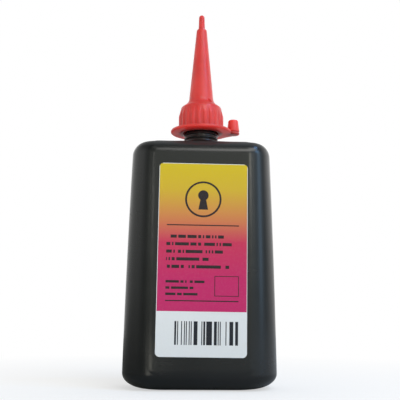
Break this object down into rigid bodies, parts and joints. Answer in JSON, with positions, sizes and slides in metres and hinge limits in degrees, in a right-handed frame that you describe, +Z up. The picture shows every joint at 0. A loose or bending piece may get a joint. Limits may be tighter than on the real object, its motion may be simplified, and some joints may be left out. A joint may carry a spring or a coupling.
{
  "type": "graphite lock lubricant bottle",
  "caption": "Flat tapered squeeze bottle of graphite powder for locks, with a ribbed screw-on spout, a keeper ring and a small tip cap parked on the ring's ear.",
  "frame": {"origin": "middle of the base, on the surface that the bottle stands on", "axes": "+Z up along the neck and spout, +X to the right seen from the front, and the labelled front faces -Y"},
  "size_m": [0.056, 0.0289, 0.144],
  "materials": {
    "black_polyethylene": "satin",
    "printed_label": "gloss",
    "graphite_powder": "matte",
    "red_polyethylene": "satin"
  },
  "bodies": {
    "bottle": {"bottle": "black_polyethylene", "label": "printed_label", "graphite_powder": "graphite_powder"},
    "keeper": {"keeper_ring": "red_polyethylene"},
    "spout": {"spout_cap": "red_polyethylene"},
    "tip": {"tip_cap": "red_polyethylene"}
  },
  "joints": [
    {"name": "spout_rise", "type": "slide", "parent": "bottle", "child": "keeper", "axis": [0, 0, 1], "range_m": [0, 0.006]},
    {"name": "spout_turn", "type": "hinge", "parent": "keeper", "child": "spout", "pos_m": [0, 0, 0.0962], "axis": [0, 0, 1], "range_deg": [0, 720]},
    {"name": "tip_cap_pull", "type": "slide", "parent": "keeper", "child": "tip", "axis": [0, 0, 1], "range_m": [0, 0.008]}
  ],
  "couplings": [
    {"joint": "spout_turn", "follows": "spout_rise", "rad_per_m": 2094.4}
  ]
}
